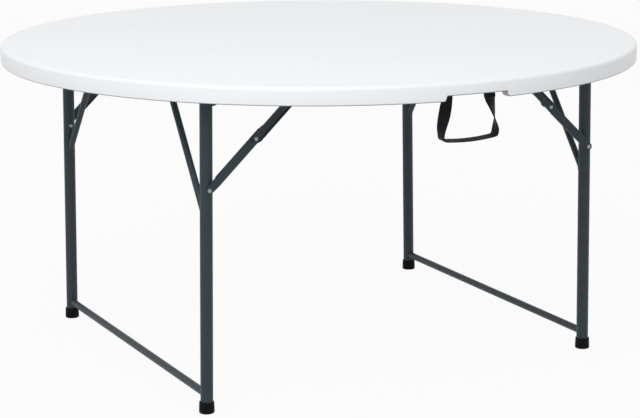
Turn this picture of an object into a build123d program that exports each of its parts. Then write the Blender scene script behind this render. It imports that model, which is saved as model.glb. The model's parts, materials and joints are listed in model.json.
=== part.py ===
"""Round folding banquet table: a blow-moulded white top on two steel leg frames.

Millimetres, +Z up. The origin is on the floor under the centre of the top.
The left leg frame stands at -X and the right one at +X, and the front is -Y,
where the carrying strap hangs. Each leg frame folds inwards about its hinge
tube, and a jackknife brace of two pressed links holds each leg open.
"""
from build123d import *
import math
import os

os.makedirs("parts", exist_ok=True)

# Whole table
top_diameter = 1524
table_height = 740

# Tabletop: a hollow moulding with a deep rim and a thinner panel inside it
rim_depth = 40
rim_width = 28
panel_depth = 22
skin = 3.5
top_edge_round = 8
rim_foot_bevel = 3
rim_draft = 6

# Notch in the front of the rim, for the hand
notch_foot_width = 154
notch_top_width = 140
notch_height = 12
notch_round = 4

# Leg frames. Their legs stand apart by leg_spread and this share of the top's radius
leg_spread = 268.4
leg_spread_share = 0.8
side_shift = 25
hinge_rim_inset = 267
leg_splay = 10
hinge_drop = 15
leg_od = 28
leg_wall = 1.5
hinge_tube_od = 28
hinge_tube_wall = 1.5
hinge_tube_overhang = 39
crossbar_od = 17
crossbar_wall = 1.2
crossbar_height = 41.5
diagonal_od = 15
diagonal_wall = 1.2
diagonal_foot_height = 429
diagonal_inset = 215

# Foot caps
cap_od = 34.5
cap_height = 26
cap_floor = 4
cap_clearance = 0.1
cap_bevel = 2

# Hinge brackets: a saddle under the hinge tube, screwed to the panel
saddle_offset = 27
saddle_width = 20
saddle_sheet = 2.5
saddle_clearance = 0.3
saddle_reach = 28

# Jackknife braces
leg_rivet_height = 500
anchor_reach = 211
upper_link_length = 143.5
link_width = 20
link_end_width = 16.5
link_taper = 20
link_sheet = 1.8
link_gap = 0.3
lower_flange = 3.2
upper_flange = 4
leg_end_plain = 30
elbow_end_plain = 14
tail_length = 26
tail_flange_stop = 5
anchor_end_plain = 22
stop_tab_length = 9
stop_tab_gap = 0.3
elbow_gap = 1.9

# Rivets
rivet_shank = 6.5
rivet_head = 9
rivet_shoulder = 12
rivet_head_height = 1.6
elbow_head_height = 2
running_clearance = 0.1

# Anchor brackets: an angle of sheet with one ear for the upper link
anchor_sheet = 2.5
anchor_length = 44
anchor_foot = 22
anchor_ear_length = 20

# Screws
screw_shank = 4.5
screw_head = 9
screw_head_height = 2.6
screw_bite = 6
screw_clearance = 0.05

# Carrying strap and the two loops that hold it
strap_width = 26
strap_thickness = 2.5
strap_rim_gap = 17
strap_end_x = 51
loop_drop = 6
loop_wire = 4
loop_lug = 5
loop_side_gap = 1
loop_ear = 10
loop_ear_sheet = 2
loop_ear_inset = 2
hem_od = 8.6
hem_clearance = 0.3

# The webbing's centre line from the left loop to the right one: X, and how far under the panel
strap_path = [(-51, 9.2), (-54, 30), (-57.5, 58), (-61.5, 84), (-63.5, 104), (-57, 110.4),
              (-19, 112.5), (25, 113.5), (62, 109.6), (71, 103), (71.5, 93), (67, 67), (60, 43),
              (53, 18), (51, 9.2)]
# How far the webbing has turned towards lying flat at each of those points
strap_turn_shares = [0, 0.16, 0.5, 0.84, 1, 1, 1, 1, 1, 1, 0.96, 0.67, 0.36, 0.08, 0]

overrun = 5
edge_flats = 3

# Places worked out from the sizes above, so that frames and strap stay inside the rim
top_radius = top_diameter / 2
rim_foot_z = table_height - rim_depth
panel_z = table_height - panel_depth
hinge_z = panel_z - hinge_drop
hinge_x = top_radius - hinge_rim_inset
foot_x = hinge_x + leg_splay
leg_spacing = leg_spread + leg_spread_share * top_radius
anchor_x = hinge_x - anchor_reach
strap_y = top_radius - rim_width - strap_rim_gap
leg_radius = leg_od / 2
lower_web_in = leg_radius + link_gap + lower_flange
lower_web_out = lower_web_in + link_sheet
upper_web_in = lower_web_out + elbow_gap
upper_web_out = upper_web_in + link_sheet
ear_in = upper_web_out + link_gap
ear_out = ear_in + anchor_sheet
post_step = strap_width / 2 + loop_side_gap + loop_wire / 2
ear_step = post_step + loop_wire / 2 + loop_ear / 2

SIDES = {"left": -1, "right": 1}
ENDS = {"front": -1, "rear": 1}


def leg_y(side, end):
    """Where a leg stands across the table; the two frames are shifted apart to nest."""
    return end * leg_spacing / 2 + side * side_shift


def saddle_y(side, end):
    """Where a hinge saddle sits, just outside its leg."""
    return leg_y(side, end) + end * saddle_offset


def on_leg(side, end, z):
    """The point of a leg's axis at height z."""
    x = foot_x + (hinge_x - foot_x) * z / hinge_z
    return Vector(side * x, leg_y(side, end), z)


def rod(start, end, radius):
    """A solid bar between two points."""
    axis = end - start
    place = Plane(origin=start, z_dir=axis)
    return place * Cylinder(radius, axis.length, align=(Align.CENTER, Align.CENTER, Align.MIN))


def tube(start, end, outside, wall):
    """A round tube between two points, open at both ends."""
    way = (end - start).normalized() * overrun
    return rod(start, end, outside / 2) - rod(start - way, end + way, outside / 2 - wall)


def save(name, *solids):
    """One STEP file for a node, which may hold several like solids."""
    if len(solids) == 1:
        export_step(solids[0], f"parts/{name}.step")
    else:
        export_step(Compound(children=list(solids)), f"parts/{name}.step")


# Tabletop

def outer_profile():
    """Half of the top's section: an eased upper edge, a drafted rim and the panel inside it."""
    centre_x = top_radius - top_edge_round
    centre_z = table_height - top_edge_round
    turns = [index * math.pi / 2 / edge_flats for index in range(edge_flats + 1)]
    edge = [(centre_x + top_edge_round * math.sin(turn), centre_z + top_edge_round * math.cos(turn))
            for turn in turns]
    inside = top_radius - rim_width
    corners = [(0, table_height), *edge,
               (top_radius, rim_foot_z + rim_foot_bevel), (top_radius - rim_foot_bevel, rim_foot_z),
               (inside + rim_foot_bevel, rim_foot_z), (inside, rim_foot_z + rim_foot_bevel),
               (inside - rim_draft, panel_z), (0, panel_z)]
    return make_face(Plane.XZ * Polyline(*corners, close=True))


def hollow_profile():
    """Half of the section of the air inside the moulding."""
    outside = top_radius - skin
    inside = top_radius - rim_width + skin
    top_z = table_height - skin
    foot_z = rim_foot_z + skin
    corners = [(0, top_z), (outside - top_edge_round / 2, top_z), (outside, top_z - top_edge_round / 2),
               (outside, foot_z), (inside, foot_z), (inside - rim_draft, panel_z + skin),
               (0, panel_z + skin)]
    return make_face(Plane.XZ * Polyline(*corners, close=True))


def notch_cut(grow):
    """The hand notch through the front of the rim, wider at its foot."""
    slope = (notch_foot_width - notch_top_width) / 2 / notch_height
    top = notch_top_width / 2 + grow
    foot = top + slope * (notch_height + grow + overrun)
    top_z = rim_foot_z + notch_height + grow
    low_z = rim_foot_z - overrun
    face = make_face(Plane.XZ * Polyline((-foot, low_z), (-top, top_z), (top, top_z),
                                         (foot, low_z), close=True))
    face = fillet(face.vertices().group_by(Axis.Z)[-1], notch_round + grow)
    depth = rim_width + rim_draft + 2 * grow + overrun
    return Pos(0, -top_radius - overrun, 0) * extrude(face, overrun + depth, dir=(0, 1, 0))


def saddle_screws_of(side, end):
    """A screw's place in plan, and the thickness of the sheet under its head."""
    step = (hinge_tube_od / 2 + saddle_clearance + saddle_sheet + saddle_reach) / 2
    return [(side * hinge_x + way * step, saddle_y(side, end), saddle_sheet) for way in (-1, 1)]


def anchor_screws_of(side, end):
    y = leg_y(side, end) + end * (ear_out + anchor_foot / 2)
    return [(side * anchor_x + way * anchor_length / 4, y, anchor_sheet) for way in (-1, 1)]


def saddle_screw_points():
    return [spot for side in SIDES.values() for end in ENDS.values()
            for spot in saddle_screws_of(side, end)]


def anchor_screw_points():
    return [spot for side in SIDES.values() for end in ENDS.values()
            for spot in anchor_screws_of(side, end)]


def strap_screw_points():
    return [(x + way * ear_step, -strap_y + loop_ear_inset, loop_ear_sheet)
            for x in (-strap_end_x, strap_end_x) for way in (-1, 1)]


def screw(x, y, sheet):
    """A screw driven up into the panel."""
    face_z = panel_z - sheet
    head = Pos(x, y, face_z) * Cylinder(screw_head / 2, screw_head_height,
                                        align=(Align.CENTER, Align.CENTER, Align.MAX))
    shank = Pos(x, y, face_z) * Cylinder(screw_shank / 2, sheet + skin + screw_bite,
                                         align=(Align.CENTER, Align.CENTER, Align.MIN))
    return head + shank


def screw_hole(x, y, sheet):
    """The hole for a screw in its sheet and in the panel's lower skin."""
    return Pos(x, y, panel_z - sheet - overrun) * Cylinder(
        screw_shank / 2 + screw_clearance, overrun + sheet + skin + screw_bite,
        align=(Align.CENTER, Align.CENTER, Align.MIN))


def make_tabletop():
    outer = revolve(outer_profile(), Axis.Z) - notch_cut(0)
    hollow = revolve(hollow_profile(), Axis.Z) - notch_cut(skin)
    top = outer - hollow
    for spot in saddle_screw_points() + anchor_screw_points() + strap_screw_points():
        top -= screw_hole(*spot)
    return top


# Leg frames

def make_hinge_tube(side):
    start = on_leg(side, -1, hinge_z) - Vector(0, hinge_tube_overhang, 0)
    end = on_leg(side, 1, hinge_z) + Vector(0, hinge_tube_overhang, 0)
    return tube(start, end, hinge_tube_od, hinge_tube_wall)


def hinge_bar(side):
    """The hinge tube's outside, which trims what is welded to it."""
    reach = Vector(0, hinge_tube_overhang + overrun, 0)
    return rod(on_leg(side, -1, hinge_z) - reach, on_leg(side, 1, hinge_z) + reach,
               hinge_tube_od / 2)


def leg_bar(side, end):
    """A leg's outside, which trims what is welded to it."""
    return rod(on_leg(side, end, 0), on_leg(side, end, hinge_z), leg_radius)


def make_leg(side, end):
    top = on_leg(side, end, hinge_z)
    foot = on_leg(side, end, 0)
    up = (top - foot).normalized()
    leg = tube(foot + up * cap_floor, top, leg_od, leg_wall) - hinge_bar(side)
    rivet = on_leg(side, end, leg_rivet_height)
    across = Vector(0, leg_radius + overrun, 0)
    return leg - rod(rivet - across, rivet + across, rivet_shank / 2)


def make_cap(side, end):
    """An upright cup with a flat foot, bored to the lean of its leg."""
    top = on_leg(side, end, hinge_z)
    foot = on_leg(side, end, 0)
    up = (top - foot).normalized()
    cup = rod(foot, foot + Vector(0, 0, cap_height), cap_od / 2)
    cup = chamfer(cup.edges().group_by(Axis.Z)[0], cap_bevel)
    return cup - rod(foot + up * cap_floor, foot + up * (cap_height + overrun),
                     leg_radius + cap_clearance)


def make_crossbar(side):
    start = on_leg(side, -1, crossbar_height)
    end = on_leg(side, 1, crossbar_height)
    return tube(start, end, crossbar_od, crossbar_wall) - leg_bar(side, -1) - leg_bar(side, 1)


def make_diagonal(side, end):
    start = on_leg(side, end, diagonal_foot_height)
    finish = on_leg(side, end, hinge_z) - Vector(0, end * diagonal_inset, 0)
    return tube(start, finish, diagonal_od, diagonal_wall) - leg_bar(side, end) - hinge_bar(side)


def make_saddle(side, end):
    """A strap of sheet round the underside of the hinge tube, with two screwed feet."""
    inside = hinge_tube_od / 2 + saddle_clearance
    outside = inside + saddle_sheet
    lift = (Align.CENTER, Align.MIN)
    outer = Circle(outside) + Rectangle(2 * outside, hinge_drop, align=lift)
    outer += Pos(0, hinge_drop - saddle_sheet) * Rectangle(2 * saddle_reach, saddle_sheet, align=lift)
    inner = Circle(inside) + Rectangle(2 * inside, hinge_drop + overrun, align=lift)
    y = saddle_y(side, end)
    place = Plane(origin=(side * hinge_x, y + saddle_width / 2, hinge_z), x_dir=(1, 0, 0),
                  z_dir=(0, -1, 0))
    saddle = place * extrude(outer - inner, saddle_width)
    for spot in saddle_screws_of(side, end):
        saddle -= screw_hole(*spot)
    return saddle


# Jackknife braces

def leg_rivet_point(side, end):
    return on_leg(side, end, leg_rivet_height)


def anchor_point(side, end):
    return Vector(side * anchor_x, leg_y(side, end), hinge_z)


def brace_line(side, end):
    """The straight line from the leg rivet to the anchor, and the elbow on it."""
    low = leg_rivet_point(side, end)
    high = anchor_point(side, end)
    up = (high - low).normalized()
    return low, high - up * upper_link_length, high


def link_plane(origin, towards, end):
    """Link frame: X along the link, Z out from the leg."""
    return Plane(origin=origin, x_dir=towards - origin, z_dir=(0, end, 0))


def strip(length, depth):
    """A flat strip with round ends, narrower at its first end."""
    narrow = link_end_width / 2
    wide = link_width / 2
    face = Circle(narrow) + Pos(length, 0) * Circle(wide)
    face += make_face(Polyline((0, -narrow), (link_taper, -wide), (length, -wide), (length, wide),
                               (link_taper, wide), (0, narrow), close=True))
    return extrude(face, depth)


def flange(x0, x1, edge, z0, depth):
    """A turned-up edge along one side of a link."""
    y = edge * (link_width - link_sheet) / 2
    return Pos((x0 + x1) / 2, y, z0) * Box(x1 - x0, link_sheet, depth,
                                           align=(Align.CENTER, Align.CENTER, Align.MIN))


def make_lower_link(side, end):
    low, elbow, _ = brace_line(side, end)
    length = (elbow - low).length
    hinge_edge = 1 if side * end > 0 else -1
    body = Pos(0, 0, lower_web_in) * strip(length + tail_length, link_sheet)
    tip = lower_web_in - lower_flange
    depth = lower_flange + link_sheet / 2
    body += flange(leg_end_plain, length + tail_length - tail_flange_stop, hinge_edge, tip, depth)
    body += flange(leg_end_plain, length - elbow_end_plain, -hinge_edge, tip, depth)
    tab_y = -hinge_edge * (link_width / 2 + stop_tab_gap + link_sheet / 2)
    tab_x = length + tail_length - stop_tab_length / 2 - link_sheet
    foot_width = link_sheet + stop_tab_gap + link_sheet
    foot_y = -hinge_edge * (link_width / 2 + stop_tab_gap + link_sheet - foot_width / 2)
    body += Pos(tab_x, foot_y, lower_web_in) * Box(
        stop_tab_length, foot_width, link_sheet, align=(Align.CENTER, Align.CENTER, Align.MIN))
    body += Pos(tab_x, tab_y, lower_web_in) * Box(
        stop_tab_length, link_sheet, upper_web_out - lower_web_in,
        align=(Align.CENTER, Align.CENTER, Align.MIN))
    for x in (0, length):
        body -= Pos(x, 0, lower_web_in - overrun) * Cylinder(
            rivet_shank / 2 + running_clearance, link_sheet + 2 * overrun,
            align=(Align.CENTER, Align.CENTER, Align.MIN))
    return link_plane(low, elbow, end) * body


def make_upper_link(side, end):
    _, elbow, high = brace_line(side, end)
    body = Pos(0, 0, upper_web_in) * strip(upper_link_length, link_sheet)
    depth = link_sheet / 2 + upper_flange
    for edge in (-1, 1):
        body += flange(anchor_end_plain, upper_link_length, edge,
                       upper_web_out - link_sheet / 2, depth)
    for x in (0, upper_link_length):
        body -= Pos(x, 0, upper_web_in - overrun) * Cylinder(
            rivet_shank / 2 + running_clearance, link_sheet + 2 * overrun,
            align=(Align.CENTER, Align.CENTER, Align.MIN))
    return link_plane(high, elbow, end) * body


def stack(point, end, layers):
    """Discs on one axis that runs out from the leg: each is (from, to, diameter)."""
    body = None
    for start, finish, across in layers:
        disc = rod(point + Vector(0, end * start, 0), point + Vector(0, end * finish, 0), across / 2)
        body = disc if body is None else body + disc
    return body


def make_elbow_rivet(side, end):
    """A rivet through both links, with a shoulder that keeps them apart."""
    _, elbow, _ = brace_line(side, end)
    return stack(elbow, end, [
        (lower_web_in - elbow_head_height, lower_web_in, rivet_head),
        (lower_web_in, lower_web_out, rivet_shank),
        (lower_web_out, upper_web_in, rivet_shoulder),
        (upper_web_in, upper_web_out, rivet_shank),
        (upper_web_out, upper_web_out + elbow_head_height, rivet_head)])


def make_leg_rivet_head(side, end):
    """The outer end of the leg rivet, which turns with the lower link: shoulder, shank and head."""
    return stack(leg_rivet_point(side, end), end, [
        (leg_radius + link_gap, lower_web_in, rivet_shoulder),
        (lower_web_in, lower_web_out, rivet_shank),
        (lower_web_out, lower_web_out + rivet_head_height, rivet_head)])


def make_leg_rivet_tail(side, end):
    """The inner end of the leg rivet, fixed in the leg's cross hole."""
    point = leg_rivet_point(side, end)
    head = stack(point, end, [(-leg_radius - elbow_head_height, 0, rivet_head)])
    return head - leg_bar(side, end) + stack(point, end, [(-leg_radius, leg_radius, rivet_shank)])


def make_anchor_bracket(side, end):
    """An angle under the panel: a foot with two screws and an ear for the upper link."""
    high = anchor_point(side, end)
    wide = (Align.CENTER, Align.MIN, Align.MAX)
    ear = Box(anchor_ear_length, anchor_sheet, hinge_drop, align=wide)
    ear += Pos(0, 0, -hinge_drop) * Rot(-90, 0, 0) * Cylinder(
        anchor_ear_length / 2, anchor_sheet, align=(Align.CENTER, Align.CENTER, Align.MIN))
    foot = Box(anchor_length, anchor_foot + anchor_sheet, anchor_sheet, align=wide)
    body = ear + foot
    body -= Pos(0, -overrun, -hinge_drop) * Rot(-90, 0, 0) * Cylinder(
        rivet_shank / 2, anchor_sheet + 2 * overrun,
        align=(Align.CENTER, Align.CENTER, Align.MIN))
    if end < 0:
        body = mirror(body, Plane.XZ)
    body = Pos(high.X, high.Y + end * ear_in, panel_z) * body
    for spot in anchor_screws_of(side, end):
        body -= screw_hole(*spot)
    return body


def make_anchor_rivet(side, end):
    return stack(anchor_point(side, end), end, [
        (upper_web_in, ear_out, rivet_shank),
        (ear_out, ear_out + elbow_head_height, rivet_head)])


# Carrying strap

def web_corners(index):
    """The four corners of the webbing's cross-section, square to its centre line."""
    points = [Vector(x, -strap_y, panel_z - drop) for x, drop in strap_path]
    before = points[max(index - 1, 0)]
    after = points[min(index + 1, len(points) - 1)]
    along = (after - before).normalized()
    across = along.cross(Vector(0, 1, 0))
    turn = strap_turn_shares[index] * math.pi / 2
    half_width = (across * math.cos(turn) - Vector(0, 1, 0) * math.sin(turn)) * (strap_width / 2)
    half_thick = half_width.cross(along).normalized() * (strap_thickness / 2)
    middle = points[index]
    return [middle - half_width - half_thick, middle + half_width - half_thick,
            middle + half_width + half_thick, middle - half_width + half_thick]


def flat_face(*corners):
    return make_face(Polyline(*corners, close=True))


def make_webbing():
    """The twisting band, with two flat triangles on each side from one section to the next."""
    sections = [web_corners(index) for index in range(len(strap_path))]
    faces = [flat_face(*sections[0]), flat_face(*sections[-1])]
    for here, there in zip(sections, sections[1:]):
        for corner in range(len(here)):
            other = (corner + 1) % len(here)
            faces.append(flat_face(here[corner], here[other], there[other]))
            faces.append(flat_face(here[corner], there[other], there[corner]))
    return Solid(Shell([made.face() for made in faces]))


def make_strap():
    body = make_webbing()
    for x in (-strap_end_x, strap_end_x):
        middle = Vector(x, -strap_y, panel_z - loop_drop)
        half = Vector(strap_width / 2, 0, 0)
        body += rod(middle - half, middle + half, hem_od / 2)
        body -= rod(middle - half * 2, middle + half * 2, loop_wire / 2 + hem_clearance)
    return body


def make_strap_loop(x):
    """A bar between two lugs under the panel, which the strap's hem turns on."""
    middle = Vector(x, -strap_y, panel_z - loop_drop)
    reach = Vector(post_step, 0, 0)
    loop = rod(middle - reach, middle + reach, loop_wire / 2)
    low = (Align.CENTER, Align.CENTER, Align.MAX)
    ear_y = -strap_y + loop_ear_inset
    for way in (-1, 1):
        loop += Pos(x + way * post_step, -strap_y, panel_z) * Box(
            loop_wire, loop_lug, loop_drop + loop_lug / 2, align=low)
        ear_x = x + way * ear_step
        ear = Pos(ear_x - way * loop_wire / 2, ear_y, panel_z) * Box(
            loop_ear + loop_wire, loop_ear, loop_ear_sheet, align=low)
        loop += ear - screw_hole(ear_x, ear_y, loop_ear_sheet)
    return loop


save("tabletop", make_tabletop())

for side_name, side in SIDES.items():
    save(f"{side_name}_hinge_tube", make_hinge_tube(side))
    save(f"{side_name}_foot_crossbar", make_crossbar(side))
    save(f"{side_name}_leg_rivet_tails", *[make_leg_rivet_tail(side, end) for end in ENDS.values()])
    for end_name, end in ENDS.items():
        place = f"{side_name}_{end_name}"
        save(f"{place}_leg", make_leg(side, end))
        save(f"{place}_foot_cap", make_cap(side, end))
        save(f"{place}_diagonal_stay", make_diagonal(side, end))
        save(f"{place}_hinge_saddle", make_saddle(side, end))
        save(f"{place}_anchor_bracket", make_anchor_bracket(side, end))
        save(f"{place}_upper_link", make_upper_link(side, end))
        save(f"{place}_lower_link", make_lower_link(side, end))
        save(f"{place}_elbow_rivet", make_elbow_rivet(side, end))
        save(f"{place}_leg_rivet_head", make_leg_rivet_head(side, end))

save("anchor_rivets", *[make_anchor_rivet(side, end) for side in SIDES.values()
                        for end in ENDS.values()])
save("saddle_screws", *[screw(*spot) for spot in saddle_screw_points()])
save("anchor_screws", *[screw(*spot) for spot in anchor_screw_points()])
save("strap_screws", *[screw(*spot) for spot in strap_screw_points()])
save("carrying_strap", make_strap())
save("strap_loops", *[make_strap_loop(x) for x in (-strap_end_x, strap_end_x)])
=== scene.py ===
"""Round folding banquet table, dressed for pictures: a white moulded top with its dimpled
underside, powder-coated leg frames with weld beads, zinc-plated rivets and screws, black foot
caps and a woven carrying strap, on a plain pale floor in soft light.

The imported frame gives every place. New pieces are modelled here in metres around it.
"""
import json
import math

import bmesh
import bpy
from mathutils import Matrix, Vector


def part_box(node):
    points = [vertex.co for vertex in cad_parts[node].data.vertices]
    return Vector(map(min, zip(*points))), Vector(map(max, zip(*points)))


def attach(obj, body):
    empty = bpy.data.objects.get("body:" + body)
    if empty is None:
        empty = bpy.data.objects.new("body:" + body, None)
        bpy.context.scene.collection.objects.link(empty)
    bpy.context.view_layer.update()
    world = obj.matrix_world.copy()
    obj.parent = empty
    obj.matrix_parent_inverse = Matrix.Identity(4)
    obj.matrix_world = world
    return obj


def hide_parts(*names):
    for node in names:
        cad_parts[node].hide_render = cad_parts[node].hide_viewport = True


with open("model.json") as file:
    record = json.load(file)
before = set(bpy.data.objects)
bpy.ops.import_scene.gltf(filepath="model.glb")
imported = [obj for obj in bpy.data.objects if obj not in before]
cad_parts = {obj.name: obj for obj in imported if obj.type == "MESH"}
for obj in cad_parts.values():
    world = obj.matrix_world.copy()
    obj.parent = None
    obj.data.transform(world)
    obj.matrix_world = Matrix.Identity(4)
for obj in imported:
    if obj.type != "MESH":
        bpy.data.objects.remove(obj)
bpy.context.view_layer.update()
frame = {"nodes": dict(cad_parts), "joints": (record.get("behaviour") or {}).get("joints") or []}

bl_info = {
    "name": "Folding Banquet Table",
    "version": (1, 0, 0),
    "blender": (4, 5, 0),
    "location": "3D View > Sidebar > Table",
    "description": "Builds the finishes and fine pieces of a round folding banquet table",
    "category": "Object",
}

MM = 0.001
FULL_TURN = 2 * math.pi
CORNERS = ("left_front", "left_rear", "right_front", "right_rear")
SIDES = ("left", "right")

# Section of the top: how wide and deep its rim is, and how far the wall inside it leans
RIM_WIDTH = 28 * MM
PANEL_DEPTH = 22 * MM
RIM_DRAFT = 6 * MM
RIM_FLAT = 14 * MM
RIM_ROUND_STEPS = 8
FOOT_ROUND_STEPS = 4
TOP_STEPS = 720

# Hand notch in the front of the rim: its height and half widths
NOTCH_HEIGHT = 12 * MM
NOTCH_TOP = 75 * MM
NOTCH_FOOT = 77 * MM
NOTCH_ROUND = 2.5 * MM
NOTCH_FLARE = 1.5 * MM
NOTCH_CUTS = 9
LEAST_LIFT = 0.01 * MM
SAME_OFFSET = 0.0006 * MM

# Dimples under the panel: how much they narrow, and how far they keep from what is round them
DIMPLE_TAPER_SHARE = 0.45
DIMPLE_SIDES = 20
DIMPLE_RIM_GAP = 16 * MM
DIMPLE_BRACKET_GAP = 4 * MM

# Tubes
LEG_RADIUS = 14 * MM
CROSSBAR_RADIUS = 8.5 * MM
STAY_RADIUS = 7.5 * MM
STAY_FOOT_HEIGHT = 429 * MM
STAY_INSET = 215 * MM

# How far a weld may stand off the hinge tube and still turn clear of the panel
LOW_WELD = 0.6 * MM
WELD_BURIED = 0.6 * MM
WELD_REACH = 60 * MM
WELD_SIDES, SHELL_SIDES = 64, 96

# Rivets: distances out from the leg's centre line
LOWER_LINK_IN = 17.5 * MM
LOWER_LINK_OUT = 19.3 * MM
UPPER_LINK_IN = 21.2 * MM
UPPER_LINK_OUT = 23.0 * MM
EAR_OUT = 25.8 * MM
LEG_GAP = 0.3 * MM
SHANK_RADIUS = 3.25 * MM
HEAD_RADIUS = 4.5 * MM
SHOULDER_RADIUS = 6 * MM
LOW_HEAD = 1.6 * MM
TALL_HEAD = 2 * MM
HEAD_SKIRT = 0.35 * MM
DOME_STEPS = 6
ANCHOR_CHAMFER = 0.4 * MM

# Screws: the outline of the head up to its widest place, and the cross recess in it
SCREW_HEAD_OUTLINE = ((0, 0), (1.6, 0.1), (3.0, 0.5), (4.0, 1.15), (4.5, 2.0), (4.5, 2.6))
SCREW_HEAD = 2.6 * MM
SCREW_SHANK = 2.25 * MM
SCREW_POINT = 3 * MM
SCREW_SPREAD = 11 * MM
RECESS = (4.6 * MM, 0.9 * MM, 3.2 * MM)

# Foot caps: the dish under the floor, the floor itself and the fit round the leg
CAP_DISH = ((0, 1.0), (9, 1.0), (10, 0.2), (11, 0))
CAP_FLOOR = 4 * MM
CAP_FIT = 0.15 * MM
CAP_TAPER = 0.7 * MM
CAP_SIDES = 64

# Carrying strap: its middle line from the left bar to the right one, as X and drop under the
# panel in millimetres, and how far it has turned towards lying flat there
STRAP_Y = -717 * MM
STRAP_BAR_X = 51 * MM
STRAP_BAR_DROP = 6 * MM
STRAP_WIDTH = 26 * MM
STRAP_LINE = (
    (-52, 26, 0), (-53.2, 33, 0.14), (-55.8, 48, 0.36), (-60.6, 68, 0.64), (-63.9, 82, 0.8),
    (-64.6, 93, 0.95), (-64.4, 102, 1), (-63, 106.6, 1.03), (-60, 107.8, 1.06), (-48, 109.2, 1.06),
    (-11, 111.4, 1.05), (25, 110.4, 1.04), (56, 107.2, 1.03), (64.5, 105.6, 1.03),
    (67.3, 102.6, 1.04), (69, 94, 1.04), (68.9, 86, 0.95), (67.5, 70.4, 0.71), (64.4, 57.2, 0.55),
    (58.8, 38.9, 0.34), (54.9, 27, 0.1), (53.8, 22, 0),
)
HEM_DROPS = ((24, 1.0), (18, 1.0), (12, 1.05))
HEM_TURNS = (-60, -25, 10, 45, 80, 115, 150, 185, 215, 240)
HEM_RADIUS = 3.25 * MM
STATION_STEP = 1.4 * MM
WEBBING_COLUMNS = 10
WEBBING_TRIM = 0.2 * MM
WEBBING_EDGE = 0.55 * MM

# Box stitches of the hems
STITCH_PITCH = 3.0 * MM
STITCH_RADIUS = 0.35 * MM
STITCH_SHAPE = (3.4, 1.0, 0.8)
STITCH_LIFT = 0.02 * MM
BOX_HALF_HEIGHT = 5.5 * MM
BOX_MARGIN = 3 * MM
SEAM_DROP = 18.5 * MM
HEM_LAYER = 0.5 * MM

# Picture: the camera's azimuth, elevation and roll, what it looks at and from how far
CAMERA_ANGLES = (-26.15, 12.56, -0.26)
CAMERA_TARGET = (-0.1688, -0.3470, 0.400)
CAMERA_DISTANCE = 4.6755
SENSOR_WIDTH = 36.0
FARTHEST_SEEN = 200.0
KEY_LIGHT_PLACE, KEY_LIGHT_TARGET, KEY_LIGHT_SIZE = (-2.3, -2.5, 3.2), (0, 0, 0.7), 2.4
WHITE = (1.0, 1.0, 1.0, 1.0)
FLOOR_GLOW = 0.93


# Settings

class TopSettings(bpy.types.PropertyGroup):
    edge_round: bpy.props.FloatProperty(
        name="Edge round", description="Radius of the top's upper edge",
        default=8 * MM, min=1 * MM, max=12 * MM, subtype="DISTANCE", unit="LENGTH")
    foot_round: bpy.props.FloatProperty(
        name="Foot round", description="Radius of the rim's lower edges",
        default=3 * MM, min=1 * MM, max=6 * MM, subtype="DISTANCE", unit="LENGTH")
    dimple_pitch: bpy.props.FloatProperty(
        name="Dimple pitch", description="Distance between the dimples under the panel",
        default=74 * MM, min=50 * MM, max=150 * MM, subtype="DISTANCE", unit="LENGTH")
    dimple_width: bpy.props.FloatProperty(
        name="Dimple width", description="Width of a dimple at its mouth",
        default=26 * MM, min=10 * MM, max=40 * MM, subtype="DISTANCE", unit="LENGTH")
    dimple_depth: bpy.props.FloatProperty(
        name="Dimple depth", description="How far a dimple goes up into the panel",
        default=13 * MM, min=2 * MM, max=17 * MM, subtype="DISTANCE", unit="LENGTH")
    colour: bpy.props.FloatVectorProperty(
        name="Plastic", description="Colour of the moulded top",
        default=(0.86, 0.88, 0.90, 1.0), size=4, min=0.0, max=1.0, subtype="COLOR")


class FrameSettings(bpy.types.PropertyGroup):
    weld_width: bpy.props.FloatProperty(
        name="Weld width", description="Width of the bead round each welded joint",
        default=2.2 * MM, min=0.5 * MM, max=2.6 * MM, subtype="DISTANCE", unit="LENGTH")
    colour: bpy.props.FloatVectorProperty(
        name="Paint", description="Colour of the powder coat on tubes, links and brackets",
        default=(0.022, 0.036, 0.044, 1.0), size=4, min=0.0, max=1.0, subtype="COLOR")


class HardwareSettings(bpy.types.PropertyGroup):
    rivet_sides: bpy.props.IntProperty(
        name="Rivet sides", description="Steps round each rivet and screw",
        default=32, min=12, max=96)
    colour: bpy.props.FloatVectorProperty(
        name="Zinc", description="Colour of the plated rivets, screws and strap bars",
        default=(0.30, 0.32, 0.34, 1.0), size=4, min=0.0, max=1.0, subtype="COLOR")


class FootSettings(bpy.types.PropertyGroup):
    mouth_round: bpy.props.FloatProperty(
        name="Mouth round", description="Radius of the cap's upper lip",
        default=1.6 * MM, min=0.4 * MM, max=2 * MM, subtype="DISTANCE", unit="LENGTH")
    floor_round: bpy.props.FloatProperty(
        name="Floor round", description="Radius of the cap's lower edge",
        default=3 * MM, min=1 * MM, max=5 * MM, subtype="DISTANCE", unit="LENGTH")
    colour: bpy.props.FloatVectorProperty(
        name="Rubber", description="Colour of the foot caps",
        default=(0.0035, 0.0045, 0.0065, 1.0), size=4, min=0.0, max=1.0, subtype="COLOR")


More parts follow.
